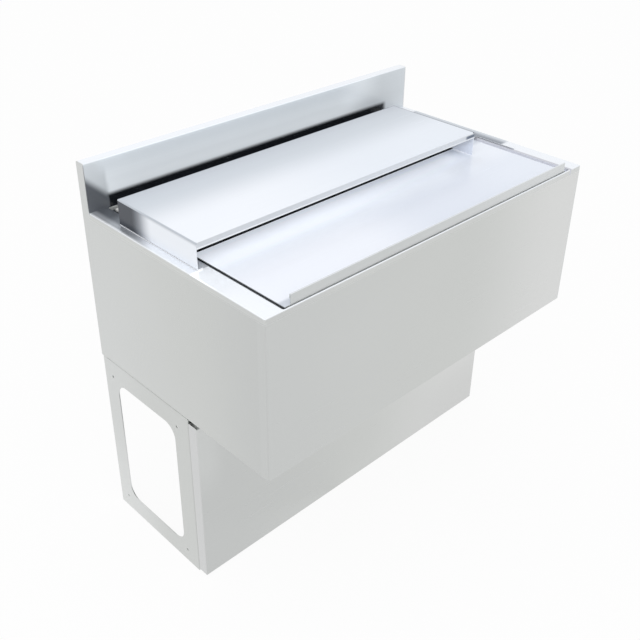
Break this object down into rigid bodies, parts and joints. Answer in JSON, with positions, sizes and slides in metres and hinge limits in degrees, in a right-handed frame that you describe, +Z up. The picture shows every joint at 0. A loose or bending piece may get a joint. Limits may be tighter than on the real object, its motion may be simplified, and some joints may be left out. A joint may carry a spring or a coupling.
{
  "type": "underbar ice bin",
  "caption": "Insulated ice well in a steel body with a sliding front lid, a lift-off raised rear cover and a backsplash, on an open sheet-metal base with a recessed skirt.",
  "frame": {"origin": "on the floor, at the centre of the footprint", "axes": "+X to the right along the width, +Y to the back, +Z up; the front faces -Y"},
  "size_m": [0.914, 0.54, 0.864],
  "materials": {
    "satin_steel": "fine satin stainless sheet",
    "deck_steel": "fine satin stainless sheet, bright where it faces up",
    "liner_steel": "bright stainless sheet",
    "plated_steel": "zinc plated",
    "black_rubber": "matt",
    "white_nylon": "satin",
    "brass": "machined",
    "yellow_foam": "rigid foam"
  },
  "bodies": {
    "base": {"front_panel": "satin_steel", "left_side_panel": "satin_steel", "right_side_panel": "satin_steel", "back_panel": "satin_steel", "bottom_pan": "satin_steel", "pan_stiffeners": "plated_steel", "deck_frame": "deck_steel", "backsplash": "satin_steel", "mouth_gasket": "black_rubber", "well_liner": "liner_steel", "foam_insulation": "yellow_foam", "false_bottom": "liner_steel", "drain_body": "brass", "drain_gasket": "black_rubber", "drain_locknut": "brass", "drain_strainer": "liner_steel", "drain_tailpiece": "brass", "left_lid_rail": "white_nylon", "right_lid_rail": "white_nylon", "left_side_frame": "satin_steel", "right_side_frame": "satin_steel", "front_skirt": "satin_steel", "rear_tie_rail": "satin_steel", "frame_shims": "black_rubber", "frame_bolts": "plated_steel", "skirt_screws": "plated_steel", "tie_bolts": "plated_steel"},
    "lid": {"lid_plate": "deck_steel", "lid_handle": "deck_steel", "lid_stiffener": "liner_steel", "lid_glides": "white_nylon"},
    "rear_cover": {"cover_hood": "deck_steel", "cover_stiffener": "liner_steel", "cover_pads": "white_nylon"}
  },
  "joints": [
    {"name": "lid_slide", "type": "slide", "parent": "base", "child": "lid", "axis": [0, 1, 0], "range_m": [0, 0.18]},
    {"name": "cover_lift", "type": "slide", "parent": "base", "child": "rear_cover", "axis": [0, 0, 1], "range_m": [0, 0.15]}
  ]
}
